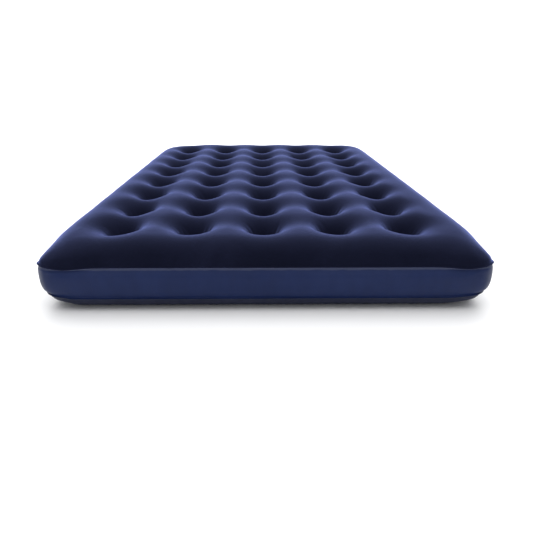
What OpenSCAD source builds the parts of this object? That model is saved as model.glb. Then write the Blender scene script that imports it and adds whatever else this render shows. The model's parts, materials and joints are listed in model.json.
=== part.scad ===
// Double-size flocked air mattress with coil construction.
// Row frame: +Z up, +Y along the sleeper, origin on the floor under the middle.
// The envelope is three welded sheets: a flocked top sheet, a side band and a
// bottom sheet. Forty tubular coils tie the top sheet to the bottom sheet and
// pull a round dimple into each. A two-stage screw valve sits in the head end.

/* [Mattress] */
// Overall width over the seam lips
body_w = 1370; // [1300:10:1500]
// Overall length over the seam lips
body_l = 1910; // [1850:10:2050]
// Overall height of the inflated mattress
body_h = 220; // [220:5:240]
// Height of the upper perimeter seam above the floor
seam_top_z = 150; // [140:1:150]
// Height of the lower perimeter seam above the floor
seam_low_z = 45; // [40:1:55]
// Plan radius of the corners
corner_r = 75; // [40:5:100]
// Drawn thickness of every sheet
sheet_t = 1.0; // [0.8:0.1:1.5]
// Width of the welded lip that stands out at both seams
lip_w = 5; // [3:0.5:6]

/* [Coils] */
// Coils across the width
coil_cols = 5; // [4:1:5]
// Rows of coils along the length
coil_rows = 8; // [6:1:8]
// Spacing of the coils across the width
pitch_x = 232; // [226:1:236]
// How far the field of coils sits off the middle, across the width
coil_shift_x = -9; // [-12:1:12]
// Spacing of the rows along the length
pitch_y = 212.5; // [210:0.5:218]
// Outer radius of the round weld at each end of a coil
weld_r = 42; // [38:1:46]
// Outer radius of a coil's tube
coil_r = 36; // [32:1:37]
// Depth of the dimples in the top sheet
dimple_top = 68; // [50:1:68]
// Depth of the dimples in the bottom sheet
dimple_low = 40; // [30:1:41]
// Radius of a dimple at its rim
dimple_rim = 102; // [95:1:103]
// Radius of the three air holes in each coil
air_hole_r = 9; // [6:1:12]

/* [Valve] */
// Distance of the valve from the middle of the head end
valve_x = 455; // [300:5:500]
// Height of the valve's axis above the floor
valve_z = 101; // [99:1:103]
// Radius of the pump port through the insert
port_r = 10; // [8:0.5:10.5]
// Radius of the socket that the insert screws into
socket_r = 22; // [21:0.5:24]
// Pitch of the insert's screw thread
thread_pitch = 5; // [4:0.5:5]
// How far the insert comes out when unscrewed
insert_travel = 15; // [10:1:15]

/* [Hidden] */
$fn = 96;

flock = [0.09, 0.10, 0.25];
vinyl = [0.14, 0.17, 0.36];
vinyl_dark = [0.11, 0.13, 0.28];
clear_vinyl = [0.55, 0.60, 0.72];
rigid = [0.10, 0.11, 0.16];
rubber_grey = [0.30, 0.31, 0.34];

eps = 0.01;
hw = body_w / 2;
hl = body_l / 2;
root_d = lip_w;                      // where the upper seam's lip meets the body
low_d = 12;                          // the lower seam sits this far in
flat_d = 1.5;                        // the band's upright middle sits this far in
crest_d = 106;                       // where the top shoulder reaches full height
rest_d = 78;                         // where the lower shoulder meets the floor
top_disc_z = body_h - dimple_top;    // outer face of the top weld discs
low_disc_z = dimple_low;             // outer face of the bottom weld discs

// ---------------------------------------------------------------- profiles

// A quarter of an ellipse from (d0, z0), upright, to (d1, z1), level.
function shoulder(d0, z0, d1, z1, n = 9) =
    [for (i = [0:n]) let (a = 90 * i / n)
        [d1 - (d1 - d0) * cos(a), z0 + (z1 - z0) * sin(a)]];

// The band from the lower seam to the upper one, as [inset, height].
function band_side(t) =
    [[low_d + t, seam_low_z], [6 + t, 56], [flat_d + t, 68],
     [flat_d + t, 134], [3 + t, 143], [root_d + t, seam_top_z]];

// A symmetric section of half width h from one side's [inset, height] points.
function section_of(h, pts) =
    concat([for (p = pts) [-h + p[0], p[1]]],
           [for (i = [len(pts) - 1:-1:0]) [h - pts[i][0], pts[i][1]]]);

module rounded_plan(w, l, r) {
    square([w - 2 * r, l], center = true);
    square([w, l - 2 * r], center = true);
    for (sx = [-1, 1], sy = [-1, 1])
        translate([sx * (w / 2 - r), sy * (l / 2 - r)]) circle(r);
}

// The same side section all round the plan, mitred at the corners.
module loaf(pts, inset = 0) {
    intersection() {
        rotate([90, 0, 0]) linear_extrude(height = body_l + 20, center = true)
            polygon(section_of(hw, pts));
        rotate([90, 0, 90]) linear_extrude(height = body_w + 20, center = true)
            polygon(section_of(hl, pts));
        translate([0, 0, -5]) linear_extrude(height = body_h + 10)
            rounded_plan(body_w - 2 * inset, body_l - 2 * inset, corner_r);
    }
}

// A flat welded lip round the plan, between two insets and two heights.
module lip(d_out, d_in, z0, h) {
    translate([0, 0, z0]) linear_extrude(height = h) difference() {
        rounded_plan(body_w - 2 * d_out, body_l - 2 * d_out, corner_r);
        rounded_plan(body_w - 2 * d_in, body_l - 2 * d_in, corner_r - 1);
    }
}

// ----------------------------------------------------------------- dimples

// A dimple's side as [radius, height above the weld disc] for a given depth.
function dimple_side(depth) =
    [[weld_r, 0], [weld_r + 4, 0.10 * depth], [weld_r + 11, 0.30 * depth],
     [weld_r + 20, 0.52 * depth], [weld_r + 31, 0.73 * depth],
     [weld_r + 43, 0.90 * depth], [dimple_rim, depth]];

// Everything a dimple takes out, grown by g, from the disc outwards.
module dimple(depth, g) {
    side = dimple_side(depth);
    last = side[len(side) - 1];
    rotate_extrude() polygon(concat(
        [[0, -g], [weld_r + 0.5 * g, -g]],
        [for (i = [1:len(side) - 1]) let (
            a = side[max(i - 1, 0)], b = side[min(i + 1, len(side) - 1)],
            len2 = norm(b - a))
            [side[i][0] + g * (b[1] - a[1]) / len2,
             side[i][1] - g * (b[0] - a[0]) / len2]],
        [[last[0] + g + 8, depth + 4], [0, depth + 4]]));
}

module at_coils(z) {
    for (i = [0:coil_cols - 1], j = [0:coil_rows - 1])
        translate([(i - (coil_cols - 1) / 2) * pitch_x + coil_shift_x,
                   (j - (coil_rows - 1) / 2) * pitch_y, z]) children();
}

// ------------------------------------------------------------ envelope

module top_sheet() {
    t = sheet_t;
    color(flock) difference() {
        union() {
            loaf(shoulder(root_d, seam_top_z, crest_d, body_h));
            lip(0, root_d + 1, seam_top_z, t);
        }
        difference() {
            loaf(concat([[root_d + t, seam_top_z - 1]],
                        shoulder(root_d + t, seam_top_z, crest_d, body_h - t)),
                 root_d + t);
            at_coils(top_disc_z) dimple(dimple_top, t);
        }
        at_coils(top_disc_z) dimple(dimple_top, 0);
    }
}

module bottom_sheet() {
    t = sheet_t;
    color(vinyl_dark) difference() {
        union() {
            mirror_z() loaf(shoulder(low_d, body_h - seam_low_z, rest_d, body_h));
            lip(low_d - lip_w, low_d + 1, seam_low_z - t, t);
        }
        difference() {
            mirror_z() loaf(concat([[low_d + t, body_h - seam_low_z - 1]],
                shoulder(low_d + t, body_h - seam_low_z, rest_d, body_h - t)),
                low_d + t);
            mirror_z() at_coils(body_h - low_disc_z) dimple(dimple_low, t);
        }
        mirror_z() at_coils(body_h - low_disc_z) dimple(dimple_low, 0);
    }
}

// Turns a shape upside down within the mattress's height.
module mirror_z() translate([0, 0, body_h]) mirror([0, 0, 1]) children();

module side_band() {
    t = sheet_t;
    color(vinyl) difference() {
        union() {
            loaf(band_side(0), 0);
            lip(0, root_d + 1, seam_top_z - t, t);
            lip(low_d - lip_w, low_d + 1, seam_low_z, t);
        }
        loaf(concat([[low_d + t, seam_low_z - 1]], band_side(t),
                    [[root_d + t, seam_top_z + 1]]), flat_d + t);
        at_valve() translate([0, 0, -5]) cylinder(r = hole_r, h = 10);
    }
}

// The strip that closes the band where its two ends meet, welded on the outside.
module band_splice() {
    color(vinyl_dark)
        translate([-hw + flat_d - sheet_t, 700, 68])
            cube([sheet_t, 24, 66]);
}

// ------------------------------------------------------------ coils

// One coil: a tube with a flat welded flange at each end and three air holes.
module coil() {
    z0 = low_disc_z + sheet_t;
    z1 = top_disc_z - sheet_t;
    difference() {
        union() {
            translate([0, 0, z0]) cylinder(r = coil_r, h = z1 - z0);
            translate([0, 0, z0]) cylinder(r = weld_r, h = sheet_t);
            translate([0, 0, z1 - sheet_t]) cylinder(r = weld_r, h = sheet_t);
        }
        translate([0, 0, z0 - 1]) cylinder(r = coil_r - sheet_t, h = z1 - z0 + 2);
        for (a = [0, 120, 240]) rotate([0, 0, a])
            translate([0, 0, (z0 + z1) / 2]) rotate([0, 90, 0])
                cylinder(r = air_hole_r, h = coil_r + 5);
    }
}

module coil_row(j) {
    color(clear_vinyl) for (i = [0:coil_cols - 1])
        translate([(i - (coil_cols - 1) / 2) * pitch_x + coil_shift_x,
                   (j - 1 - (coil_rows - 1) / 2) * pitch_y, 0]) coil();
}

// ------------------------------------------------------------ valve
// Valve frame: local +Z points out of the head end, and 0 is the band's face.

collar_r = 28.5;                     // collar that stands out of the band
collar_h = 3;
hole_r = 25.2;                       // hole in the band and its doubling ring
flange_r = 32;                       // welded flange behind the band
head_r = 30;                         // gripped head of the insert
head_z0 = 5.7;
head_z1 = 9.2;
port_top = 11.6;                     // mouth of the pump port
port_end = -18;                      // inner end of the port and the barrel
tube_r = port_r + 2.5;
barrel_r = socket_r - 2;
cap_hinge_x = 20.5;
cap_hinge_z = 12.2;
flap_hinge_x = -15.2;
flap_hinge_z = port_end - 2.1;
ear_x = -41;
pivot_r = 1.0;                       // trunnions of the cap and the flap
pivot_gap = 0.06;

module at_valve() translate([valve_x, hl - flat_d, valve_z])
    rotate([-90, 0, 0]) children();

// A right-hand ridge wound on a helix from z0 for a number of turns.
module helix_ridge(r_root, r_crest, w_root, w_crest, z0, turns, n = 20) {
    steps = ceil(turns * n);
    pts = [for (i = [0:steps]) let (
            a = 360 * turns * i / steps,
            z = z0 + thread_pitch * turns * i / steps)
        for (q = [[r_root, -w_root / 2], [r_crest, -w_crest / 2],
                  [r_crest, w_crest / 2], [r_root, w_root / 2]])
            [q[0] * cos(a), q[0] * sin(a), z + q[1]]];
    flip = r_crest < r_root;
    sides = [for (i = [0:steps - 1], k = [0:3]) let (
            a = 4 * i + k, b = 4 * i + (k + 1) % 4)
        for (f = [[a, b, b + 4], [a, b + 4, a + 4]]) f];
    e = 4 * steps;
    ends = [[0, 3, 2], [0, 2, 1], [e, e + 1, e + 2], [e, e + 2, e + 3]];
    polyhedron(pts, [for (f = concat(sides, ends))
        flip ? [f[2], f[1], f[0]] : f], convexity = 6);
}

// Doubling ring welded to the inside of the band round the valve's flange.
module valve_patch() {
    color(vinyl_dark) at_valve() translate([0, 0, -sheet_t - 2.4])
        difference() {
            cylinder(r = flange_r + 4, h = 1.0);
            translate([0, 0, -1]) cylinder(r = 24.6, h = 3);
        }
}

// Soft welded base: inner flange, outer collar, threaded socket, tether ear.
module valve_base() {
    color(vinyl) at_valve() difference() {
        union() {
            translate([0, 0, -22]) cylinder(r = 24.4, h = 22 + collar_h);
            translate([0, 0, -sheet_t - 1.4]) cylinder(r = flange_r, h = 1.4);
            cylinder(r = collar_r, h = collar_h);
            translate([ear_x, 0, 0]) cylinder(r = 6, h = collar_h);
            translate([ear_x, -6, 0]) cube([-ear_x - 24, 12, collar_h]);
            translate([ear_x, 0, collar_h - 1]) cylinder(r = 2, h = 4.2);
        }
        translate([0, 0, -30]) cylinder(r = socket_r, h = 40);
    }
    color(vinyl) at_valve()
        helix_ridge(socket_r + 0.9, socket_r - 1.5, 2.2, 1.2, -17.5, 3);
}

// Ring and strap that keep the insert with the mattress.
module insert_tether() {
    color(rubber_grey) at_valve() translate([0, 0, 4.3]) difference() {
        union() {
            cylinder(r = 27.5, h = 1.1);
            translate([ear_x, -4, 0]) cube([-ear_x - 22, 8, 1.1]);
            translate([ear_x, 0, 0]) cylinder(r = 4.6, h = 1.1);
        }
        translate([0, 0, -1]) cylinder(r = barrel_r + 0.5, h = 4);
        translate([ear_x, 0, -1]) cylinder(r = 2.4, h = 4);
    }
}

// A pair of hinge lugs at (x, z), with holes for trunnions along local Y.
module lugs(x, z, z_from, half_gap) {
    lo = min(z_from, z - 2.2);
    hi = max(z_from, z + 2.2);
    difference() {
        for (s = [-1, 1]) translate([x, s * (half_gap + 1), (lo + hi) / 2])
            cube([4.4, 2, hi - lo], center = true);
        translate([x, 0, z]) rotate([90, 0, 0])
            cylinder(r = pivot_r + pivot_gap, h = 40, center = true);
    }
}

// The bead and its two trunnions that turn in those lugs.
module trunnions(x, z, half_gap, bead_r) {
    translate([x, 0, z]) rotate([90, 0, 0])
        cylinder(r = bead_r, h = 2 * half_gap - 0.6, center = true);
    translate([x, 0, z]) rotate([90, 0, 0])
        cylinder(r = pivot_r, h = 2 * half_gap + 3.4, center = true);
}

// Rigid screw insert: gripped head, threaded barrel, and the pump port's tube.
module valve_insert() {
    color(rigid) at_valve() {
        difference() {
            union() {
                translate([0, 0, head_z0]) cylinder(r = head_r, h = head_z1 - head_z0);
                translate([0, 0, port_end]) cylinder(r = barrel_r, h = head_z0 - port_end + 1);
            }
            difference() {
                translate([0, 0, port_end - 1])
                    cylinder(r = barrel_r - 1.8, h = head_z0 - port_end + 1);
                translate([0, 0, port_end - 2]) cylinder(r = tube_r, h = 40);
                // bridge that carries the flap's lugs
                translate([-19, -5.6, port_end]) cube([7, 11.2, 2.4]);
            }
            translate([0, 0, port_end - 2]) cylinder(r = port_r, h = 40);
            // grip scallops round the head
            for (i = [0:17]) rotate([0, 0, 10 + 20 * i])
                translate([head_r + 2.2, 0, head_z0 - 1]) cylinder(r = 3.6, h = 6);
        }
        difference() {
            translate([0, 0, head_z1 - 1]) cylinder(r = tube_r, h = port_top - head_z1 + 1);
            translate([0, 0, head_z1 - 2]) cylinder(r = port_r, h = 8);
        }
        lugs(cap_hinge_x, cap_hinge_z, head_z1 - 1, 4.5);
        lugs(flap_hinge_x, flap_hinge_z, port_end + 1, 3.4);
        helix_ridge(barrel_r - 0.6, barrel_r + 1.5, 2.2, 1.2, -15, 2.5);
    }
}

// Flat washer under the insert's head.
module insert_seal() {
    color(rubber_grey) at_valve() translate([0, 0, collar_h + 0.1]) difference() {
        cylinder(r = 25, h = 0.9);
        translate([0, 0, -1]) cylinder(r = barrel_r, h = 4);
    }
}

// Snap-on lid over the pump port, hinged on the insert's head.
module port_cap() {
    skirt = tube_r + 0.4;
    color(rigid) at_valve() {
        difference() {
            union() {
                translate([0, 0, head_z1 + 0.4])
                    cylinder(r = skirt + 1.8, h = port_top - head_z1 + 2.3);
                translate([0, -3.6, cap_hinge_z - 1.1]) cube([cap_hinge_x, 7.2, 2.2]);
                translate([-skirt - 7, -5, port_top + 1]) cube([9, 10, 1.7]);
            }
            translate([0, 0, head_z1 - 1]) cylinder(r = skirt, h = port_top - head_z1 + 2.1);
        }
        trunnions(cap_hinge_x, cap_hinge_z, 4.5, 1.8);
    }
}

// Soft disc inside the lid that closes the port's mouth.
module cap_seal() {
    color(rubber_grey) at_valve() translate([0, 0, port_top + 0.1])
        cylinder(r = tube_r, h = 1.0);
}

// One-way flap that closes the inner end of the port.
module check_flap() {
    color(rubber_grey) at_valve() {
        translate([0, 0, port_end - 1.6]) cylinder(r = tube_r + 0.3, h = 1.2);
        translate([flap_hinge_x, -2.6, port_end - 1.6]) cube([-flap_hinge_x, 5.2, 1.2]);
        trunnions(flap_hinge_x, flap_hinge_z, 3.4, 1.3);
    }
}

top_sheet();
side_band();
bottom_sheet();
band_splice();
coil_row(1);  // coil_row_1
coil_row(2);  // coil_row_2
coil_row(3);  // coil_row_3
coil_row(4);  // coil_row_4
coil_row(5);  // coil_row_5
coil_row(6);  // coil_row_6
coil_row(7);  // coil_row_7
coil_row(8);  // coil_row_8
valve_patch();
valve_base();
insert_tether();
valve_insert();
insert_seal();
port_cap();
cap_seal();
check_flap();
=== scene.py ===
import json
import math

import bmesh
import bpy
import numpy as np
from mathutils import Matrix, Vector, noise


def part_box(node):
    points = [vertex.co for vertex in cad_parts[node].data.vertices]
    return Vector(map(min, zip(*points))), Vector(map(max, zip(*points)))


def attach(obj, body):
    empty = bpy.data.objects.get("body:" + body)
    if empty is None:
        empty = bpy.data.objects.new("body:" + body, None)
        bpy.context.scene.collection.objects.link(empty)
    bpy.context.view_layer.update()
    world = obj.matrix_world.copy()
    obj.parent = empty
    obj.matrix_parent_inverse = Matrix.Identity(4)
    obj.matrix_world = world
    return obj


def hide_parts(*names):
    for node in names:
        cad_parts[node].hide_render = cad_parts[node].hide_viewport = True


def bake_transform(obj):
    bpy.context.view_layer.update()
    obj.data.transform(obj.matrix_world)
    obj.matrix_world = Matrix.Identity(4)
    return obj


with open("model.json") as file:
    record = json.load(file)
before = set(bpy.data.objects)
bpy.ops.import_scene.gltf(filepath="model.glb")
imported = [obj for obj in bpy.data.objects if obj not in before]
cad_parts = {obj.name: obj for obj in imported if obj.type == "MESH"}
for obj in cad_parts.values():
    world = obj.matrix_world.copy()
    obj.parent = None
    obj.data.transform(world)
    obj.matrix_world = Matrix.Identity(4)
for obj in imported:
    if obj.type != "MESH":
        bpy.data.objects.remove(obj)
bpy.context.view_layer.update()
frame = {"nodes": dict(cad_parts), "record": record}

# ------------------------------------------------------------------ dimensions
top_lo, top_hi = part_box("top_sheet")
band_lo, band_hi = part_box("side_band")
HW = top_hi.x                       # half width over the seam lips
HL = top_hi.y                       # half length over the seam lips
H = top_hi.z                        # overall height
SEAM_T = top_lo.z                   # upper seam
SEAM_B = band_lo.z                  # lower seam
COLS, ROWS = 5, 8
PX, PY = 0.232, 0.2125              # coil spacing
SX = -0.009                         # the coils sit this far off the middle
WELD_R = 0.040
TOP_DISC = H - 0.068                # outer face of the welds in the top
LOW_DISC = 0.040                    # outer face of the welds in the bottom
CORNER_R = 0.068
VALVE = Vector((0.455, HL - 0.0015, 0.101))
NS = 12                             # segments along each side of a coil's cell
NM = 9                              # rings in the margin round the coils

CX = [(i - (COLS - 1) / 2) * PX + SX for i in range(COLS)]
CY = [(j - (ROWS - 1) / 2) * PY for j in range(ROWS)]
FX, FY = COLS * PX / 2, ROWS * PY / 2


def smooth(a, b, x):
    t = np.clip((np.asarray(x, float) - a) / (b - a), 0, 1)
    return t * t * (3 - 2 * t)


# --------------------------------------------------------- plan of the perimeter
def perimeter(inset, corner_add=0.0):
    """Points of the rounded plan at an inset, matching the margin's outer ring: rows of (x, y, nx, ny, c, s), where c is 1 at a corner and 0 on a straight side, and s is the way along the edge from the nearest corner's middle."""
    hx, hy = HW - inset, HL - inset
    r = max(CORNER_R - inset + corner_add, 0.012)
    pts = []

    def side(n, a, b, fixed, axis, sign):
        for k in range(n):
            t = a + (b - a) * k / n
            pts.append((fixed, t, sign, 0, 0) if axis == 0 else (t, fixed, 0, sign, 0))

    def corner(sx, sy, start_on_x):
        fx = FX + sx * SX
        # from the end of one straight side, round the arc, to the start of the next
        la, lb = hy - r - FY, hx - r - fx
        if not start_on_x:
            la, lb = lb, la
        arc = math.pi / 2 * r
        total = la + arc + lb
        out = []
        for k in range(2 * NM):
            half = la + arc / 2
            s = half * k / NM if k <= NM else half + (total - half) * (k - NM) / NM
            if s < la:
                q, ang, c = s, 0.0, 0.0
                p = (hx, FY + q) if start_on_x else (fx + q, hy)
                n = (1, 0) if start_on_x else (0, 1)
            elif s > la + arc:
                q = s - la - arc
                p = (hx - r - q, hy) if start_on_x else (hx, hy - r - q)
                n = (0, 1) if start_on_x else (1, 0)
            else:
                ang = (s - la) / r
                if start_on_x:
                    n = (math.cos(ang), math.sin(ang))
                else:
                    n = (math.sin(ang), math.cos(ang))
                p = (hx - r + r * n[0], hy - r + r * n[1])
            dist = abs(s - half)
            c = float(1 - smooth(0.015, 0.115, dist))
            out.append((sx * p[0], sy * p[1], sx * n[0], sy * n[1], c))
        pts.extend(out)

    side(ROWS * NS, -FY, FY, hx, 0, 1)
    corner(1, 1, True)
    side(COLS * NS, FX + SX, -FX + SX, hy, 1, 1)
    corner(-1, 1, False)
    side(ROWS * NS, FY, -FY, -hx, 0, -1)
    corner(-1, -1, True)
    side(COLS * NS, -FX + SX, FX + SX, -hy, 1, -1)
    corner(1, -1, False)
    pts = np.array(pts)
    step = np.linalg.norm(np.roll(pts[:, :2], -1, 0) - pts[:, :2], axis=1)
    at = np.concatenate([[0], np.cumsum(step)])
    mids, k = [], 0
    for count in (ROWS, COLS, ROWS, COLS):
        k += count * NS
        mids.append(at[k + NM])
        k += 2 * NM
    away = np.abs(at[:-1, None] - np.array(mids)[None, :])
    away = np.minimum(away, at[-1] - away).min(1)
    return np.column_stack([pts, away])


def seam_dip(away):
    """The upper seam is drawn down a little on each side of a corner and tips up at it."""
    return -0.0068 * np.exp(-((away - 0.090) / 0.048) ** 2) + 0.0015 * np.exp(-(away / 0.030) ** 2)


def corner_growth(z):
    """How the plan radius of the corners changes down the band."""
    return float(np.interp(z, [SEAM_B, 0.052, 0.060, 0.070, 0.085, 0.100, 0.120, 0.138, SEAM_T - 0.004],
                           [0.004, -0.006, -0.012, -0.014, -0.013, -0.010, -0.007, -0.004, 0.0]))


# ------------------------------------------------------- membrane height fields
def membrane(disc_z, seam_z, hill_z, inset, corner_add, along=0.92, boost=0.40):
    """Height of a sheet held at its seam and at the welds and loaded by pressure, on a fine grid.
    along is the sheet's tension across the bed against its tension along it; boost is the extra fullness of the margin."""
    h = 0.0042
    hx, hy, r = HW - inset, HL - inset, CORNER_R - inset + corner_add
    xs = np.arange(-round(HW / h), round(HW / h) + 1) * h
    ys = np.arange(-round(HL / h), round(HL / h) + 1) * h
    X, Y = np.meshgrid(xs, ys, indexing="ij")
    ex = np.maximum(np.abs(X) - (hx - r), 0)
    ey = np.maximum(np.abs(Y) - (hy - r), 0)
    outside = (np.hypot(ex, ey) > r) | (np.abs(X) > hx) | (np.abs(Y) > hy)
    disc = np.zeros_like(X, bool)
    for cx in CX:
        for cy in CY:
            disc |= np.hypot(X - cx, Y - cy) < WELD_R
    fixed = outside | disc
    a = np.where(disc, disc_z, seam_z)
    a[~fixed] = disc_z
    b = np.zeros_like(X)
    free = ~fixed
    par = np.add.outer(np.arange(len(xs)), np.arange(len(ys))) % 2
    masks = [free & (par == 0), free & (par == 1)]
    ins = np.minimum(hx - np.abs(X), hy - np.abs(Y))
    kx = (1 - (1 - along) * np.clip((ins - 0.06) / 0.08, 0, 1))[1:-1, 1:-1]
    push = (1 + boost * np.clip(1 - ins / 0.16, 0, 1))[1:-1, 1:-1]
    w = 1.88
    for _ in range(250):
        for m in masks:
            for f, load in ((a, 0.0), (b, push)):
                s = np.zeros_like(f)
                s[1:-1, 1:-1] = (kx * (f[2:, 1:-1] + f[:-2, 1:-1])
                                 + (2 - kx) * (f[1:-1, 2:] + f[1:-1, :-2]) + load) / 4
                f[m] += w * (s[m] - f[m])
    i0 = int(np.argmin(np.abs(xs - PX / 2 - SX)))
    j0 = int(np.argmin(np.abs(ys)))
    p = (hill_z - a[i0, j0]) / b[i0, j0]
    z = a + p * b
    return xs, ys, z


def sample(field, x, y):
    xs, ys, z = field
    h = xs[1] - xs[0]
    u = np.clip((np.asarray(x) - xs[0]) / h, 0, len(xs) - 1.001)
    v = np.clip((np.asarray(y) - ys[0]) / h, 0, len(ys) - 1.001)
    i, j = u.astype(int), v.astype(int)
    fu, fv = u - i, v - j
    return (z[i, j] * (1 - fu) * (1 - fv) + z[i + 1, j] * fu * (1 - fv)
            + z[i, j + 1] * (1 - fu) * fv + z[i + 1, j + 1] * fu * fv)


# ------------------------------------------------------------ structured sheet
class Mesh:
    """Vertices shared by place in plan, and faces, each with a tag."""

    def __init__(self):
        self.v, self.key, self.f, self.tag = [], {}, [], []

    def add(self, p, layer):
        k = (round(p[0], 5), round(p[1], 5), layer)
        if k not in self.key:
            self.key[k] = len(self.v)
            self.v.append([p[0], p[1], 0.0])
        return self.key[k]

    def raw(self, p):
        self.v.append(list(p))
        return len(self.v) - 1

    def face(self, idx, tag):
        q = [i for n, i in enumerate(idx) if i != idx[n - 1]]
        if len(q) > 2:
            self.f.append(q)
            self.tag.append(tag)


DISC_T = [0.34, 0.62, 0.80, 0.90, 1.0]
BOWL_T = [0.05, 0.115, 0.20, 0.30, 0.42, 0.56, 0.70, 0.85, 1.0]


def cell(m, cx, cy, layer, flip, tag, pinned):
    n = 4 * NS
    border, circle = [], []
    for k in range(n):
        s, q = divmod(k, NS)
        t = q / NS
        bx, by = [(PX / 2, -PY / 2 + PY * t), (PX / 2 - PX * t, PY / 2),
                  (-PX / 2, PY / 2 - PY * t), (-PX / 2 + PX * t, -PY / 2)][s]
        border.append((bx, by))
        # between even angles and the angle of the border point, so the quads stay square
        even = -math.pi / 4 + 2 * math.pi * k / n
        true = math.atan2(by, bx)
        d = (true - even + math.pi) % (2 * math.pi) - math.pi
        ang = even + 0.5 * d
        circle.append((math.cos(ang), math.sin(ang)))
    centre = m.add((cx, cy), layer)
    pinned.add(centre)
    rings = []
    for t in DISC_T:
        ring = [m.add((cx + c[0] * WELD_R * t, cy + c[1] * WELD_R * t), layer) for c in circle]
        pinned.update(ring)
        rings.append(ring)
    for t in BOWL_T:
        rings.append([m.add((cx + (1 - t) * c[0] * WELD_R + t * b[0],
                             cy + (1 - t) * c[1] * WELD_R + t * b[1]), layer)
                      for c, b in zip(circle, border)])
    for k in range(n):
        a, b = k, (k + 1) % n
        tri = [centre, rings[0][a], rings[0][b]]
        m.face(tri[::-1] if flip else tri, tag)
        for lo, hi in zip(rings[:-1], rings[1:]):
            q = [lo[a], hi[a], hi[b], lo[b]]
            m.face(q[::-1] if flip else q, tag)


MARGIN_T = [1 - (1 - k / NM) ** 1.35 for k in range(NM + 1)]


def margin(m, loop, layer, flip, tag):
    """Quads between the coil field and the perimeter ring. Returns the perimeter's indices."""
    def blend(p, q, t):
        return (p[0] + (q[0] - p[0]) * t, p[1] + (q[1] - p[1]) * t)

    def put(idx):
        m.face(idx[::-1] if flip else idx, tag)

    outer = [m.add((p[0], p[1]), layer) for p in loop]
    n = len(loop)
    pos = 0
    segs = [("s", ROWS * NS), ("c", 2 * NM), ("s", COLS * NS), ("c", 2 * NM),
            ("s", ROWS * NS), ("c", 2 * NM), ("s", COLS * NS), ("c", 2 * NM)]
    left, right = SX - FX, SX + FX
    field = [lambda t: (right, -FY + 2 * FY * t), (right, FY), lambda t: (right - 2 * FX * t, FY), (left, FY),
             lambda t: (left, FY - 2 * FY * t), (left, -FY), lambda t: (left + 2 * FX * t, -FY), (right, -FY)]
    for (kind, count), inner in zip(segs, field):
        if kind == "s":
            grid = []
            for k in range(count + 1):
                o = loop[(pos + k) % n]
                i = inner(k / count)
                grid.append([m.add(blend(i, (o[0], o[1]), t), layer) for t in MARGIN_T[:-1]]
                            + [outer[(pos + k) % n]])
            for k in range(count):
                for q in range(NM):
                    put([grid[k][q], grid[k][q + 1], grid[k + 1][q + 1], grid[k + 1][q]])
        else:
            c0 = inner
            a_end = loop[pos]                     # where the corner leaves the first side
            b_end = loop[(pos + count) % n]
            grid = {}
            for i in range(NM + 1):
                for j in range(NM + 1):
                    s, t = MARGIN_T[i], MARGIN_T[j]
                    # s runs from the corner of the field to a_end, t from it to b_end
                    e_a = blend(c0, a_end, s)
                    e_b = blend(c0, b_end, t)
                    o_a = loop[(pos + j) % n]     # along the outer edge opposite e_a's start
                    o_b = loop[(pos + 2 * NM - i) % n]
                    far = loop[(pos + NM) % n]
                    if i == NM:
                        p = (o_a[0], o_a[1])
                    elif j == NM:
                        p = (o_b[0], o_b[1])
                    else:
                        x = []
                        for q in (0, 1):
                            along_t = (1 - s) * e_b[q] + s * o_a[q]
                            along_s = (1 - t) * e_a[q] + t * o_b[q]
                            cross = ((1 - s) * (1 - t) * c0[q] + s * (1 - t) * a_end[q]
                                     + (1 - s) * t * b_end[q] + s * t * far[q])
                            x.append(along_t + along_s - cross)
                        p = x
                    if i == NM:
                        grid[i, j] = outer[(pos + j) % n]
                    elif j == NM:
                        grid[i, j] = outer[(pos + 2 * NM - i) % n]
                    else:
                        grid[i, j] = m.add(p, layer)
            for i in range(NM):
                for j in range(NM):
                    put([grid[i, j], grid[i + 1, j], grid[i + 1, j + 1], grid[i, j + 1]])
        pos += count
    return outer


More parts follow.
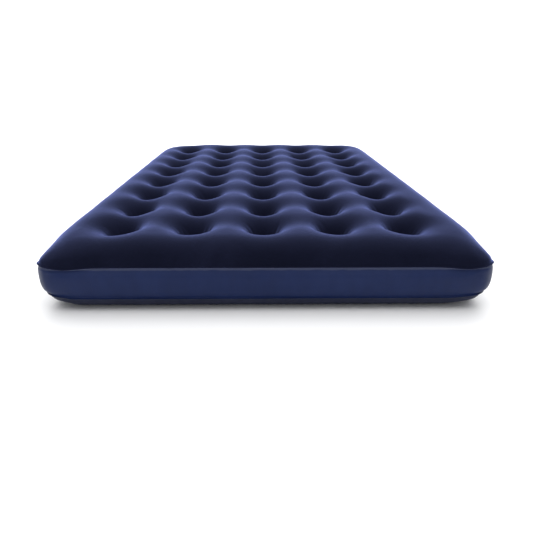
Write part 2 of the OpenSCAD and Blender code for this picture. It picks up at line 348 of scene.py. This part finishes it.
def build_envelope():
    m = Mesh()
    pinned = set()
    TOP_IN, LOW_IN = 0.005, 0.012
    # --- top sheet
    loop = perimeter(TOP_IN)
    for cx in CX:
        for cy in CY:
            cell(m, cx, cy, "t", False, 0, pinned)
    t_ring = margin(m, loop, "t", False, 0)
    n_top = len(m.v)
    V = np.array(m.v)
    field = membrane(TOP_DISC, SEAM_T, H, TOP_IN, 0.0)
    z = sample(field, V[:, 0], V[:, 1])
    full = np.clip((z - TOP_DISC) / (H - TOP_DISC), 0, 1)
    z = np.where(z > TOP_DISC, TOP_DISC + (H - TOP_DISC) * (1 - (1 - full) ** 1.1), z)
    wx = 0.5 + 0.5 * np.cos(2 * np.pi * (V[:, 0] - SX) / PX)
    wy = 0.5 + 0.5 * np.cos(2 * np.pi * (V[:, 1] - PY / 2) / PY)
    inner = smooth(0.085, 0.135, np.minimum(HW - np.abs(V[:, 0]), HL - np.abs(V[:, 1])))
    z = z - inner * (0.003 * wx * (1 - wy) + 0.002 * (1 - wx) * wy)
    ex = np.maximum(np.abs(V[:, 0]) - (HW - CORNER_R), 0)
    ey = np.maximum(np.abs(V[:, 1]) - (HL - CORNER_R), 0)
    at_corner = np.where((ex > 0) & (ey > 0), CORNER_R - np.hypot(ex, ey), 1.0)
    inset = np.minimum(np.minimum(HW - np.abs(V[:, 0]), HL - np.abs(V[:, 1])), at_corner) - TOP_IN
    inset = np.maximum(inset, 0)
    t = np.clip(inset / 0.112, 1e-4, 1)
    z = SEAM_T + (z - SEAM_T) * (t * (2 - t)) ** -0.37
    z = H - 0.5 * (H - z + np.sqrt((H - z) ** 2 + 0.0015 ** 2)) + 0.0006      # no higher than the hills
    near = np.array([np.hypot(loop[:, 0] - q[0], loop[:, 1] - q[1]).argmin() for q in V[:, :2]])
    z = z + seam_dip(loop[near, 5]) * (1 - smooth(0.0, 0.085, inset))
    for i in range(n_top):
        m.v[i][2] = float(z[i])
    for i, q in zip(t_ring, loop):
        m.v[i][2] = float(SEAM_T + 0.0009 + seam_dip(q[5]))
    pinned.update(t_ring)

    # --- rings down the side, from the top's edge to the bottom's edge
    def ring(inset, z, radius_add, rise=0.0, dip=0.0):
        """One ring of the side; rise lifts it at the corners, dip follows the upper seam."""
        return [m.raw((x, y, z + rise * c + dip * float(seam_dip(w))))
                for x, y, nx, ny, c, w in perimeter(inset, radius_add)]

    def bridge(a, b, tag):
        n = len(a)
        for k in range(n):
            m.face([a[k], b[k], b[(k + 1) % n], a[(k + 1) % n]], tag)

    rise_b, rad_b = 0.008, corner_growth(SEAM_B)
    rings = [t_ring]
    tags = []
    # lip of the top sheet, then the tip, then the lip of the band
    for inset, zz, tag in ((0.0030, SEAM_T + 0.0006, 0), (0.0008, SEAM_T + 0.0005, 0),
                           (0.0000, SEAM_T - 0.0002, 0),
                           (0.0004, SEAM_T - 0.0013, 1), (0.0024, SEAM_T - 0.0019, 1),
                           (0.0052, SEAM_T - 0.0027, 1)):
        r = ring(inset, zz, 0.0, dip=1.0)
        pinned.update(r)
        rings.append(r)
        tags.append(tag)
    prof = [(0.0054, 0.1455), (0.0038, 0.1428), (0.0022, 0.1395), (0.0012, 0.1345), (0.0005, 0.128),
            (0.0001, 0.119), (0.0000, 0.110), (0.0002, 0.100),
            (0.0009, 0.090), (0.0023, 0.080), (0.0042, 0.0705), (0.0068, 0.0615), (0.0098, 0.0535)]
    for d, zz in prof:
        f = (SEAM_T - zz) / (SEAM_T - SEAM_B)
        rings.append(ring(d, zz, corner_growth(zz), rise_b * f ** 2.2, (1 - f) ** 3))
        tags.append(1)
    for inset, zz, tag in ((0.0120, SEAM_B + 0.0026, 1), (0.0108, SEAM_B + 0.0012, 1),
                           (0.0086, SEAM_B + 0.0010, 1), (0.0072, SEAM_B, 1),
                           (0.0086, SEAM_B - 0.0011, 2), (0.0110, SEAM_B - 0.0013, 2)):
        r = ring(inset, zz, rad_b, rise_b)
        pinned.update(r)
        rings.append(r)
        tags.append(tag)
    for a, b, tag in zip(rings[:-1], rings[1:], tags):
        bridge(a, b, tag)

    # --- bottom sheet, flipped
    low_loop = perimeter(LOW_IN + 0.001, rad_b)
    for cx in CX:
        for cy in CY:
            cell(m, cx, cy, "b", True, 2, pinned)
    b_ring = margin(m, low_loop, "b", True, 2)
    idx = sorted(set(i for k, i in m.key.items() if k[2] == "b"))
    V = np.array([m.v[i] for i in idx])
    depth = membrane(LOW_DISC, SEAM_B, -0.012, LOW_IN, rad_b)
    zb = sample(depth, V[:, 0], V[:, 1])
    # distance in from the seam
    gap = np.hypot(low_loop[None, :, 0] - V[:, None, 0], low_loop[None, :, 1] - V[:, None, 1])
    din = gap.min(1)
    cs = low_loop[gap.argmin(1), 4]
    edge = SEAM_B + rise_b * cs - 0.0013
    shoulder = edge * (1 - np.sqrt(np.clip(1 - (1 - np.clip(din / (0.062 + 0.05 * cs), 0, 1)) ** 2, 0, 1)))
    shoulder = shoulder - 0.012 * smooth(0.035, 0.090, din)
    w = smooth(0.06, 0.12, din)
    zb = np.where(din > 0.12, zb, np.maximum(shoulder, zb * w - 0.012 * (1 - w)))
    ring_set = set(b_ring)
    for i, z0, e in zip(idx, zb, edge):
        m.v[i][2] = float(e if i in ring_set else z0)
    pinned.update(b_ring)
    bridge(rings[-1], b_ring, 2)
    return m, pinned


def to_object(name, verts, faces):
    me = bpy.data.meshes.new(name)
    me.from_pydata([tuple(v) for v in verts], [], faces)
    me.validate()
    me.update()
    ob = bpy.data.objects.new(name, me)
    bpy.context.scene.collection.objects.link(ob)
    return ob


env, pinned = build_envelope()
co = np.array(env.v)

# the flat place in the band where the valve is welded in
r = np.hypot(co[:, 0] - VALVE.x, co[:, 2] - VALVE.z)
near = (co[:, 1] > HL - 0.02) & (r < 0.075) & (co[:, 2] > SEAM_B + 0.004) & (co[:, 2] < SEAM_T - 0.006)
w = 1 - smooth(0.038, 0.062, r)
co[near, 1] = co[near, 1] * (1 - w[near]) + VALVE.y * w[near]
pinned.update(int(i) for i in np.nonzero(near & (r < 0.044))[0])


def inflate(co, faces, pinned, frames=18, pressure=2.2, cap=0.007):
    """Cloth with pressure from the welded, pinned shape, then the move is capped."""
    ob = to_object("inflating", co, faces)
    g = ob.vertex_groups.new(name="pin")
    g.add(sorted(pinned), 1.0, "REPLACE")
    mod = ob.modifiers.new("Cloth", "CLOTH")
    s = mod.settings
    s.quality = 5
    s.mass = 0.15
    s.tension_stiffness = 60
    s.compression_stiffness = 15
    s.shear_stiffness = 12
    s.bending_stiffness = 0.6
    s.tension_damping = 12
    s.compression_damping = 8
    s.air_damping = 4
    s.use_pressure = True
    s.uniform_pressure_force = pressure
    s.vertex_group_mass = "pin"
    s.pin_stiffness = 1.0
    s.effector_weights.gravity = 0
    mod.collision_settings.use_collision = False
    mod.collision_settings.use_self_collision = False
    mod.point_cache.frame_start = 1
    mod.point_cache.frame_end = frames
    scene = bpy.context.scene
    for f in range(1, frames + 1):
        scene.frame_set(f)
    dg = bpy.context.evaluated_depsgraph_get()
    e = ob.evaluated_get(dg)
    out = np.zeros(len(co) * 3, np.float32)
    e.data.vertices.foreach_get("co", out)
    out = out.reshape(-1, 3).astype(float)
    me = ob.data
    bpy.data.objects.remove(ob)
    bpy.data.meshes.remove(me)
    scene.frame_set(1)
    move = out - co
    move[~np.isfinite(move).all(1)] = 0
    length = np.linalg.norm(move, axis=1)
    print("cloth: median move %.2f mm, 95%% %.2f mm, most %.2f mm"
          % tuple(1000 * x for x in (np.median(length), np.percentile(length, 95), length.max())))
    k = np.where(length > 1e-9, cap * np.tanh(length / cap) / np.maximum(length, 1e-9), 0)
    return co + move * k[:, None]


co = inflate(co, env.f, pinned)

# the floor flattens whatever is pushed below it
co[:, 2] = np.where(co[:, 2] < 0.004, np.maximum(0.0, 0.004 * np.exp((co[:, 2] - 0.004) / 0.004)), co[:, 2])


def part(tag, name):
    """One of the three sheets, cut out of the envelope along the seams."""
    faces = [f for f, t in zip(env.f, env.tag) if t == tag]
    used = sorted({i for f in faces for i in f})
    at = {i: n for n, i in enumerate(used)}
    ob = to_object(name, co[used], [[at[i] for i in f] for f in faces])
    return ob


def apply_modifiers(ob):
    dg = bpy.context.evaluated_depsgraph_get()
    me = bpy.data.meshes.new_from_object(ob.evaluated_get(dg))
    ob.modifiers.clear()
    old = ob.data
    ob.data = me
    me.name = old.name
    bpy.data.meshes.remove(old)


def subdivide(ob, levels=1):
    mod = ob.modifiers.new("Subdivision", "SUBSURF")
    mod.levels = mod.render_levels = levels
    mod.boundary_smooth = "ALL"
    apply_modifiers(ob)
    for p in ob.data.polygons:
        p.use_smooth = True


def coords(ob):
    a = np.zeros(len(ob.data.vertices) * 3, np.float32)
    ob.data.vertices.foreach_get("co", a)
    return a.reshape(-1, 3).astype(float)


def normals(ob):
    a = np.zeros(len(ob.data.vertices) * 3, np.float32)
    ob.data.vertex_normals.foreach_get("vector", a)
    return a.reshape(-1, 3).astype(float)


def set_coords(ob, a):
    ob.data.vertices.foreach_set("co", a.astype(np.float32).ravel())
    ob.data.update()


def perlin(p, scale, seed=0.0):
    off = Vector((seed * 7.31, seed * 3.17, seed * 1.93))
    return np.array([noise.noise(Vector(v) * scale + off) for v in p])


top = part(0, "flocked_top_sheet")
band = part(1, "side_band_sheet")
bottom = part(2, "bottom_sheet_vinyl")
for ob in (top, band, bottom):
    subdivide(ob)

# ------------------------------------------------------------------ fine relief
def disc_field(p):
    """Distance to the nearest welded disc's centre, and the angle round it."""
    ix = np.clip(np.round((p[:, 0] - SX) / PX + (COLS - 1) / 2), 0, COLS - 1)
    iy = np.clip(np.round(p[:, 1] / PY + (ROWS - 1) / 2), 0, ROWS - 1)
    dx = p[:, 0] - SX - (ix - (COLS - 1) / 2) * PX
    dy = p[:, 1] - (iy - (ROWS - 1) / 2) * PY
    return np.hypot(dx, dy), np.arctan2(dy, dx), ix * 13 + iy * 7


def weld_relief(p, sign):
    """Height added round a welded disc: a pressed ring, a slightly domed middle and short radial tucks."""
    rr, ang, seed = disc_field(p)
    u = rr / WELD_R
    groove = -0.0010 * np.exp(-((u - 0.91) / 0.045) ** 2) - 0.0006 * np.exp(-((u - 0.78) / 0.035) ** 2)
    dome = 0.0018 * np.clip(1 - (u / 0.74) ** 2, 0, 1) ** 1.5
    tuck = (np.sin(ang * 17 + seed) + 0.7 * np.sin(ang * 29 + 2.1 * seed)) * 0.00035
    tuck *= smooth(0.98, 1.14, u) * (1 - smooth(1.26, 1.75, u))
    crease = np.zeros_like(u)
    for k in range(4):
        place = (1.9 * k + 0.55 * seed + 0.8 * np.sin(seed * 1.3 + k) + 0.30 * (u - 1)) % (2 * np.pi)
        d = (ang - place + np.pi) % (2 * np.pi) - np.pi
        reach = 1.75 + 0.35 * np.sin(seed + 2.2 * k)
        crease -= 0.0011 * np.exp(-(d * rr / 0.0062) ** 2) * smooth(1.0, 1.2, u) * (1 - smooth(reach - 0.45, reach, u))
    return sign * (groove + dome + tuck + crease)


p = coords(top)
nrm = normals(top)
relief = weld_relief(p, 1)
relief += 0.0009 * perlin(p, 7.0, 1) * (p[:, 2] > SEAM_T + 0.01)
near_seam = 1 - smooth(0.004, 0.030, p[:, 2] - SEAM_T)
relief += near_seam * 0.0007 * perlin(p * np.array([1, 1, 0.2]), 55.0, 2)
set_coords(top, p + nrm * relief[:, None])

p = coords(band)
nrm = normals(band)
up = smooth(SEAM_T - 0.045, SEAM_T - 0.008, p[:, 2])
down = 1 - smooth(SEAM_B + 0.004, SEAM_B + 0.028, p[:, 2])
corner = smooth(0.0, 1.0, np.clip((np.hypot(np.maximum(np.abs(p[:, 0]) - (HW - 0.13), 0),
                                            np.maximum(np.abs(p[:, 1]) - (HL - 0.13), 0)) - 0.13) / 0.05, 0, 1))
q = p * np.array([1, 1, 0.16])
relief = (up * 0.0006 + down * 0.0005) * perlin(q, 48.0, 3) + corner * 0.0011 * perlin(q, 70.0, 4)
relief += 0.0010 * perlin(p * np.array([1, 1, 1.6]), 9.0, 5)
lip = (p[:, 2] > SEAM_T - 0.004) | (p[:, 2] < SEAM_B + 0.0035)
rv = np.hypot(p[:, 0] - VALVE.x, p[:, 2] - VALVE.z)
quiet = np.where((p[:, 1] > HL - 0.02), smooth(0.038, 0.060, rv), 1.0)
relief = np.where(lip, 0, relief) * quiet
set_coords(band, p + nrm * relief[:, None])

p = coords(bottom)
nrm = normals(bottom)
relief = weld_relief(p, 1)
relief += 0.0005 * perlin(p, 12.0, 6) * (p[:, 2] > 0.004)
p = p + nrm * relief[:, None]
p[:, 2] = np.maximum(p[:, 2], 0)
set_coords(bottom, p)

# ------------------------------------------------------- hole for the valve base
def valve_hole(ob, radius=0.0255):
    bm = bmesh.new()
    bm.from_mesh(ob.data)

    def dist(v):
        return math.hypot(v.x - VALVE.x, v.z - VALVE.z)

    fs = [f for f in bm.faces if f.calc_center_median().y > HL - 0.02 and dist(f.calc_center_median()) < 0.040]
    edges = list({e for f in fs for e in f.edges})
    bmesh.ops.subdivide_edges(bm, edges=edges, cuts=3, use_grid_fill=True)
    gone = [f for f in bm.faces if f.calc_center_median().y > HL - 0.02 and dist(f.calc_center_median()) < radius]
    bmesh.ops.delete(bm, geom=gone, context="FACES")
    for e in bm.edges:
        if e.is_boundary:
            for v in e.verts:
                if v.co.y > HL - 0.02 and dist(v.co) < 0.034:
                    d = Vector((v.co.x - VALVE.x, 0, v.co.z - VALVE.z))
                    d.normalize()
                    v.co = Vector((VALVE.x + d.x * radius, v.co.y, VALVE.z + d.z * radius))
    bm.to_mesh(ob.data)
    bm.free()
    for f in ob.data.polygons:
        f.use_smooth = True


valve_hole(band)


# -------------------------------------------------------------------- materials
class Nodes:
    def __init__(self, name):
        self.mat = bpy.data.materials.new(name)
        self.mat.use_nodes = True
        self.t = self.mat.node_tree
        self.t.nodes.clear()
        self.out = self.t.nodes.new("ShaderNodeOutputMaterial")
        self.bsdf = self.t.nodes.new("ShaderNodeBsdfPrincipled")
        self.t.links.new(self.bsdf.outputs[0], self.out.inputs[0])
        self.coord = self.t.nodes.new("ShaderNodeTexCoord").outputs["Object"]

    def new(self, kind, **values):
        n = self.t.nodes.new(kind)
        for k, v in values.items():
            if k in n.inputs:
                n.inputs[k].default_value = v
            else:
                setattr(n, k, v)
        return n

    def link(self, a, b):
        self.t.links.new(a, b)

    def noise(self, scale, detail=2.0, rough=0.5, vector=None, distortion=0.0):
        n = self.new("ShaderNodeTexNoise")
        n.inputs["Scale"].default_value = scale
        n.inputs["Detail"].default_value = detail
        n.inputs["Roughness"].default_value = rough
        n.inputs["Distortion"].default_value = distortion
        self.link(vector or self.coord, n.inputs["Vector"])
        return n.outputs["Fac"]

    def ramp(self, fac, stops):
        n = self.new("ShaderNodeValToRGB")
        e = n.color_ramp.elements
        e[0].position, e[0].color = stops[0][0], stops[0][1]
        e[1].position, e[1].color = stops[-1][0], stops[-1][1]
        for pos, c in stops[1:-1]:
            x = e.new(pos)
            x.color = c
        self.link(fac, n.inputs["Fac"])
        return n.outputs["Color"]

    def math(self, op, a, b):
        n = self.new("ShaderNodeMath", operation=op)
        for i, x in enumerate((a, b)):
            if isinstance(x, (int, float)):
                n.inputs[i].default_value = x
            else:
                self.link(x, n.inputs[i])
        return n.outputs[0]

    def stretch(self, scale):
        n = self.new("ShaderNodeMapping")
        n.inputs["Scale"].default_value = scale
        self.link(self.coord, n.inputs["Vector"])
        return n.outputs["Vector"]

    def bump(self, height, strength, distance, normal=None):
        n = self.new("ShaderNodeBump")
        n.inputs["Strength"].default_value = strength
        n.inputs["Distance"].default_value = distance
        self.link(height, n.inputs["Height"])
        if normal is not None:
            self.link(normal, n.inputs["Normal"])
        return n.outputs["Normal"]

    def set(self, **values):
        for k, v in values.items():
            k = k.replace("_", " ")
            s = self.bsdf.inputs[k]
            if hasattr(v, "is_linked") or isinstance(v, bpy.types.NodeSocket):
                self.link(v, s)
            else:
                s.default_value = v


def flock_material():
    n = Nodes("flocked_navy")
    pile = n.noise(1400, 2, 0.6)
    nap = n.noise(9, 3, 0.55, distortion=0.4)
    fine = n.noise(160, 3, 0.6)
    mix = n.math("ADD", n.math("MULTIPLY", nap, 0.65), n.math("MULTIPLY", fine, 0.35))
    colour = n.ramp(mix, [(0.30, (0.0047, 0.0056, 0.0140, 1)), (0.52, (0.0060, 0.0071, 0.0176, 1)),
                          (0.74, (0.0084, 0.0099, 0.0240, 1))])
    rough = n.ramp(fine, [(0.3, (0.86,) * 3 + (1,)), (0.7, (0.97,) * 3 + (1,))])
    n.set(Base_Color=colour, Roughness=rough, Specular_IOR_Level=0.02,
          Sheen_Weight=1.0, Sheen_Roughness=0.33, Sheen_Tint=(0.34, 0.425, 1.0, 1))
    b1 = n.bump(pile, 0.40, 0.0006)
    n.set(Normal=n.bump(fine, 0.42, 0.0012, b1))
    return n.mat


def vinyl_material(name, dark, mid, light, rough_lo, rough_hi, grain, spec=0.35, painted_highlight=None):
    """The last argument is a painted highlight: a paler colour painted in a strip along the top of the band, just under
    the upper seam, where the band turns up toward the light above.
    """
    n = Nodes(name)
    cloud = n.noise(6, 3, 0.5)
    streak = n.noise(30, 3, 0.55, vector=n.stretch((1.0, 1.0, 0.35)))
    mix = n.math("ADD", n.math("MULTIPLY", cloud, 0.6), n.math("MULTIPLY", streak, 0.4))
    colour = n.ramp(mix, [(0.32, dark), (0.5, mid), (0.70, light)])
    # painted highlight: the band is painted paler in a strip along its top, where it faces up toward the light
    if painted_highlight:
        parts = n.new("ShaderNodeSeparateXYZ")
        n.link(n.coord, parts.inputs[0])
        z = parts.outputs["Z"]
        highlight_edge_noise = n.noise(26, 4, 0.65, vector=n.stretch((1.0, 1.0, 2.5)))
        z = n.math("ADD", z, n.math("MULTIPLY", n.math("SUBTRACT", highlight_edge_noise, 0.5), 0.006))
        up = n.new("ShaderNodeMapRange")
        for k, v in (("From Min", SEAM_B), ("From Max", SEAM_T)):
            up.inputs[k].default_value = v
        n.link(z, up.inputs["Value"])
        # where the painted highlight lies: none below 0.74 of the band's height, full from 0.935 to 0.985, half at the
        # seam
        place = n.ramp(up.outputs[0], [(0.0, (0.0, 0.0, 0.0, 1)), (0.74, (0.0, 0.0, 0.0, 1)),
                                       (0.90, (0.13, 0.13, 0.13, 1)), (0.935, (1, 1, 1, 1)),
                                       (0.985, (1, 1, 1, 1)), (1.0, (0.5, 0.5, 0.5, 1))])
        mixer = n.new("ShaderNodeMix", data_type="RGBA")
        n.link(place, mixer.inputs[0])
        n.link(colour, mixer.inputs[6])
        mixer.inputs[7].default_value = painted_highlight
        colour = mixer.outputs[2]
    n.set(Base_Color=colour)
    scuff = n.noise(45, 4, 0.6)
    n.set(Roughness=n.ramp(scuff, [(0.3, (rough_lo,) * 3 + (1,)), (0.7, (rough_hi,) * 3 + (1,))]),
          Specular_IOR_Level=spec)
    fine = n.noise(grain, 2, 0.5)
    wave = n.noise(38, 2, 0.5, vector=n.stretch((1.0, 1.0, 0.45)))
    b1 = n.bump(fine, 0.20, 0.0004)
    n.set(Normal=n.bump(wave, 0.30, 0.0016, b1))
    return n.mat


def knurled_material():
    """The strip over the band's joint: the band's vinyl, pressed with the welding bar's fine ribs."""
    n = Nodes("weld_strip_vinyl")
    cloud = n.noise(60, 3, 0.5)
    ribs = n.new("ShaderNodeTexWave", wave_type="BANDS", bands_direction="Z")
    ribs.inputs["Scale"].default_value = 150
    ribs.inputs["Distortion"].default_value = 0.6
    ribs.inputs["Detail"].default_value = 1.0
    n.link(n.coord, ribs.inputs["Vector"])
    n.set(Base_Color=n.ramp(cloud, [(0.3, (0.0105, 0.0200, 0.084, 1)), (0.7, (0.0150, 0.0270, 0.100, 1))]),
          Roughness=n.ramp(n.noise(80, 3, 0.6), [(0.3, (0.36,) * 3 + (1,)), (0.7, (0.52,) * 3 + (1,))]),
          Specular_IOR_Level=0.25)
    n.set(Normal=n.bump(ribs.outputs["Fac"], 0.45, 0.0004))
    return n.mat


flock = flock_material()
# the band's last colour is a painted highlight along its top, under the upper seam
vinyl = vinyl_material("band_vinyl", (0.0050, 0.0132, 0.060, 1), (0.0060, 0.0154, 0.069, 1),
                       (0.0080, 0.0190, 0.079, 1), 0.34, 0.48, 900, 0.15, painted_highlight=(0.060, 0.072, 0.135, 1))
under = vinyl_material("bottom_vinyl", (0.0072, 0.0100, 0.030, 1), (0.0088, 0.0122, 0.036, 1),
                       (0.0110, 0.0150, 0.043, 1), 0.45, 0.62, 1200, 0.2)

for ob, mat, node in ((top, flock, "top_sheet"), (band, vinyl, "side_band"), (bottom, under, "bottom_sheet")):
    ob.data.materials.clear()
    ob.data.materials.append(mat)
    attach(ob, "mattress")
    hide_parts(node)


# ------------------------------------------------- strip over the band's joint
def surface_of(ob):
    from mathutils.bvhtree import BVHTree
    return BVHTree.FromPolygons([v.co for v in ob.data.vertices], [tuple(f.vertices) for f in ob.data.polygons])


def lap_strip():
    lo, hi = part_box("band_splice")
    tree = surface_of(band)
    y0, y1, z0, z1 = lo.y, hi.y, lo.z - 0.006, hi.z + 0.006
    ny, nz = 14, 46
    verts, faces = [], []
    for side in (1, 0):
        for j in range(nz + 1):
            for i in range(ny + 1):
                u, v = i / ny, j / nz
                y, z = y0 + (y1 - y0) * u, z0 + (z1 - z0) * v
                rim = min(u * (y1 - y0), (1 - u) * (y1 - y0), v * (z1 - z0), (1 - v) * (z1 - z0))
                hit = tree.ray_cast(Vector((-HW - 0.1, y, z)), Vector((1, 0, 0)))
                x = hit[0].x
                lift = -0.0004
                if side:
                    groove = math.exp(-((rim - 0.0042) / 0.0007) ** 2)
                    lift = 0.0011 * float(smooth(0, 0.0022, rim)) - 0.0004 * groove - 0.0001
                verts.append((x - lift, y, z))
    n = (ny + 1) * (nz + 1)
    for j in range(nz):
        for i in range(ny):
            a = j * (ny + 1) + i
            q = [a, a + ny + 1, a + ny + 2, a + 1]
            faces.append(q)
            faces.append([k + n for k in q[::-1]])
    rim = [i for i in range(ny + 1)] + [j * (ny + 1) + ny for j in range(1, nz + 1)]
    rim += [nz * (ny + 1) + i for i in range(ny - 1, -1, -1)] + [j * (ny + 1) for j in range(nz - 1, 0, -1)]
    for a, b in zip(rim, rim[1:] + rim[:1]):
        faces.append([a, b, b + n, a + n])
    ob = to_object("band_lap_strip", verts, faces)
    for f in ob.data.polygons:
        f.use_smooth = True
    ob.data.materials.append(knurled_material())
    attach(ob, "mattress")
    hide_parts("band_splice")
    return ob


lap_strip()


# ------------------------------------------------------------- insert's tether
VZ = HL - 0.0015                    # the valve's face: its local z = 0


def valve_point(x, y, z):
    """A point of the valve's own frame, in millimetres, in the row frame."""
    return (VALVE.x + x / 1000, VZ + z / 1000, VALVE.z - y / 1000)


def swept(path, width, z0, z1, closed):
    """A flat strand of rounded rectangular section along a path in the valve's plane."""
    b = 0.28
    w = width / 2
    sec = [(-w, z0 + b), (-w + b, z0), (w - b, z0), (w, z0 + b), (w, z1 - b), (w - b, z1), (-w + b, z1), (-w, z1 - b)]
    pts = np.array(path, float)
    n = len(pts)
    nxt = np.roll(pts, -1, 0) - pts
    prv = pts - np.roll(pts, 1, 0)
    if not closed:
        nxt[-1], prv[0] = prv[-1], nxt[0]
    nxt /= np.linalg.norm(nxt, axis=1)[:, None]
    prv /= np.linalg.norm(prv, axis=1)[:, None]
    t = nxt + prv
    t /= np.linalg.norm(t, axis=1)[:, None]
    verts, faces = [], []
    for (x, y), (tx, ty) in zip(pts, t):
        for q, z in sec:
            verts.append(valve_point(x - ty * q, y + tx * q, z))
    k = len(sec)
    for i in range(n if closed else n - 1):
        a, c = i * k, ((i + 1) % n) * k
        for j in range(k):
            faces.append([a + j, a + (j + 1) % k, c + (j + 1) % k, c + j])
    if not closed:
        faces.append(list(range(k))[::-1])
        faces.append([(n - 1) * k + j for j in range(k)])
    return verts, faces


def tether():
    z0, z1 = 4.35, 5.35
    ear = -41.0
    turn = np.linspace(0, 2 * math.pi, 97)[:-1]
    parts = [swept([(24.0 * math.cos(a), 24.0 * math.sin(a)) for a in turn], 6.6, z0, z1, True)]
    turn = np.linspace(0, 2 * math.pi, 33)[:-1]
    parts.append(swept([(ear + 3.5 * math.cos(a), 3.5 * math.sin(a)) for a in turn], 2.1, z0, z1, True))
    # the strap lies in folds, so that it can follow the insert out
    knots = [(-37.4, 0.0), (-36.6, 0.9), (-35.7, 2.6), (-34.7, 2.9), (-34.0, 2.0), (-33.4, 0.0), (-32.8, -2.0),
             (-32.0, -2.9), (-31.0, -2.6), (-30.3, -1.0), (-29.6, 1.0), (-28.8, 2.0), (-27.9, 1.4), (-27.2, 0.4),
             (-26.2, 0.0)]
    fine = []
    for i in range(len(knots) - 1):
        p0, p1, p2, p3 = (np.array(knots[min(max(i + d, 0), len(knots) - 1)]) for d in (-1, 0, 1, 2))
        for q in np.linspace(0, 1, 5)[:-1]:
            fine.append(0.5 * ((2 * p1) + (p2 - p0) * q + (2 * p0 - 5 * p1 + 4 * p2 - p3) * q ** 2
                               + (3 * p1 - p0 - 3 * p2 + p3) * q ** 3))
    fine.append(np.array(knots[-1]))
    parts.append(swept(fine, 1.7, z0, z1, False))
    verts, faces = [], []
    for v, f in parts:
        base = len(verts)
        verts += v
        faces += [[i + base for i in q] for q in f]
    ob = to_object("tether_strap", verts, faces)
    bm = bmesh.new()
    bm.from_mesh(ob.data)
    bmesh.ops.recalc_face_normals(bm, faces=bm.faces)
    bm.to_mesh(ob.data)
    bm.free()
    ob.data.materials.append(moulded("tether_vinyl", (0.030, 0.038, 0.100), 0.42))
    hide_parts("insert_tether")
    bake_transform(ob)
    return ob


def moulded(name, colour, rough, fleck=0.15, grain=1500, sheen=0.0):
    n = Nodes(name)
    fine = n.noise(grain, 3, 0.6)
    cloud = n.noise(90, 3, 0.5)
    dark = tuple(c * (1 - fleck) for c in colour) + (1,)
    light = tuple(c * (1 + fleck) for c in colour) + (1,)
    n.set(Base_Color=n.ramp(cloud, [(0.3, dark), (0.7, light)]),
          Roughness=n.ramp(fine, [(0.3, (rough - 0.06,) * 3 + (1,)), (0.7, (rough + 0.08,) * 3 + (1,))]),
          Normal=n.bump(fine, 0.45, 0.0003))
    return n.mat


tether()
mats = {
    "coil_sheet": moulded("coil_vinyl", (0.26, 0.30, 0.40), 0.35),
    "valve_soft": moulded("valve_soft_vinyl", (0.020, 0.026, 0.075), 0.45),
    "valve_rigid": moulded("valve_hard_plastic", (0.016, 0.017, 0.026), 0.38),
    "seal": moulded("seal_elastomer", (0.16, 0.17, 0.19), 0.60),
    "band_sheet": vinyl,
}
for sub in frame["record"]["subparts"]:
    ob = frame["nodes"][sub["node"]]
    mat = mats.get(sub["material_slot"])
    if mat is None:
        continue
    for s in ob.material_slots:
        s.material = mat

# ------------------------------------------------------------ stage and camera
sweep = [(-9.0, 0.0), (7.0, 0.0)]
sweep += [(7.0 + 4 * math.sin(t), 4 - 4 * math.cos(t)) for t in np.linspace(0, math.pi / 2, 25)[1:]]
sweep += [(11.0, 14.0)]
fv = [(x, y, z - 0.0005) for y, z in sweep for x in (-16.0, 16.0)]
ff = [(2 * i, 2 * i + 1, 2 * i + 3, 2 * i + 2) for i in range(len(sweep) - 1)]
floor = to_object("floor", fv, ff)
for f in floor.data.polygons:
    f.use_smooth = True
n = Nodes("floor_pale")
n.set(Base_Color=(0.96, 0.96, 0.962, 1), Roughness=0.85, Specular_IOR_Level=0.1)
floor.data.materials.append(n.mat)

world = bpy.data.worlds.new("studio")
bpy.context.scene.world = world
world.use_nodes = True
world.node_tree.nodes["Background"].inputs[0].default_value = (0.97, 0.98, 1.0, 1)
world.node_tree.nodes["Background"].inputs[1].default_value = 0.45


def area(name, place, target, size, power, colour=(1, 1, 1)):
    d = bpy.data.lights.new(name, "AREA")
    d.shape = "RECTANGLE"
    d.size, d.size_y = size
    d.energy = power
    d.color = colour
    o = bpy.data.objects.new(name, d)
    bpy.context.scene.collection.objects.link(o)
    o.location = place
    o.rotation_mode = "QUATERNION"
    o.rotation_quaternion = (Vector(place) - Vector(target)).to_track_quat("Z", "Y")
    return o


area("key_above", (0.0, 0.3, 3.6), (0, 0.2, 0), (6.0, 7.0), 262)
area("backdrop", (0.0, 5.2, 6.5), (0, 8.6, 0.6), (14.0, 5.0), 900)

cam_data = bpy.data.cameras.new("camera")
cam = bpy.data.objects.new("camera", cam_data)
bpy.context.scene.collection.objects.link(cam)
cam_data.sensor_width = 36
cam_data.lens = 36 * 416.5 / 533
cam_data.clip_start, cam_data.clip_end = 0.05, 100
cam.matrix_world = (Matrix.Translation((-0.017, -2.041, 0.658))
                    @ Matrix.Rotation(math.radians(-0.80), 4, "Z")
                    @ Matrix.Rotation(math.radians(90 - 24.87), 4, "X")
                    @ Matrix.Rotation(math.radians(0.16), 4, "Z"))
bpy.context.scene.camera = cam
bpy.context.scene.view_settings.view_transform = "Standard"
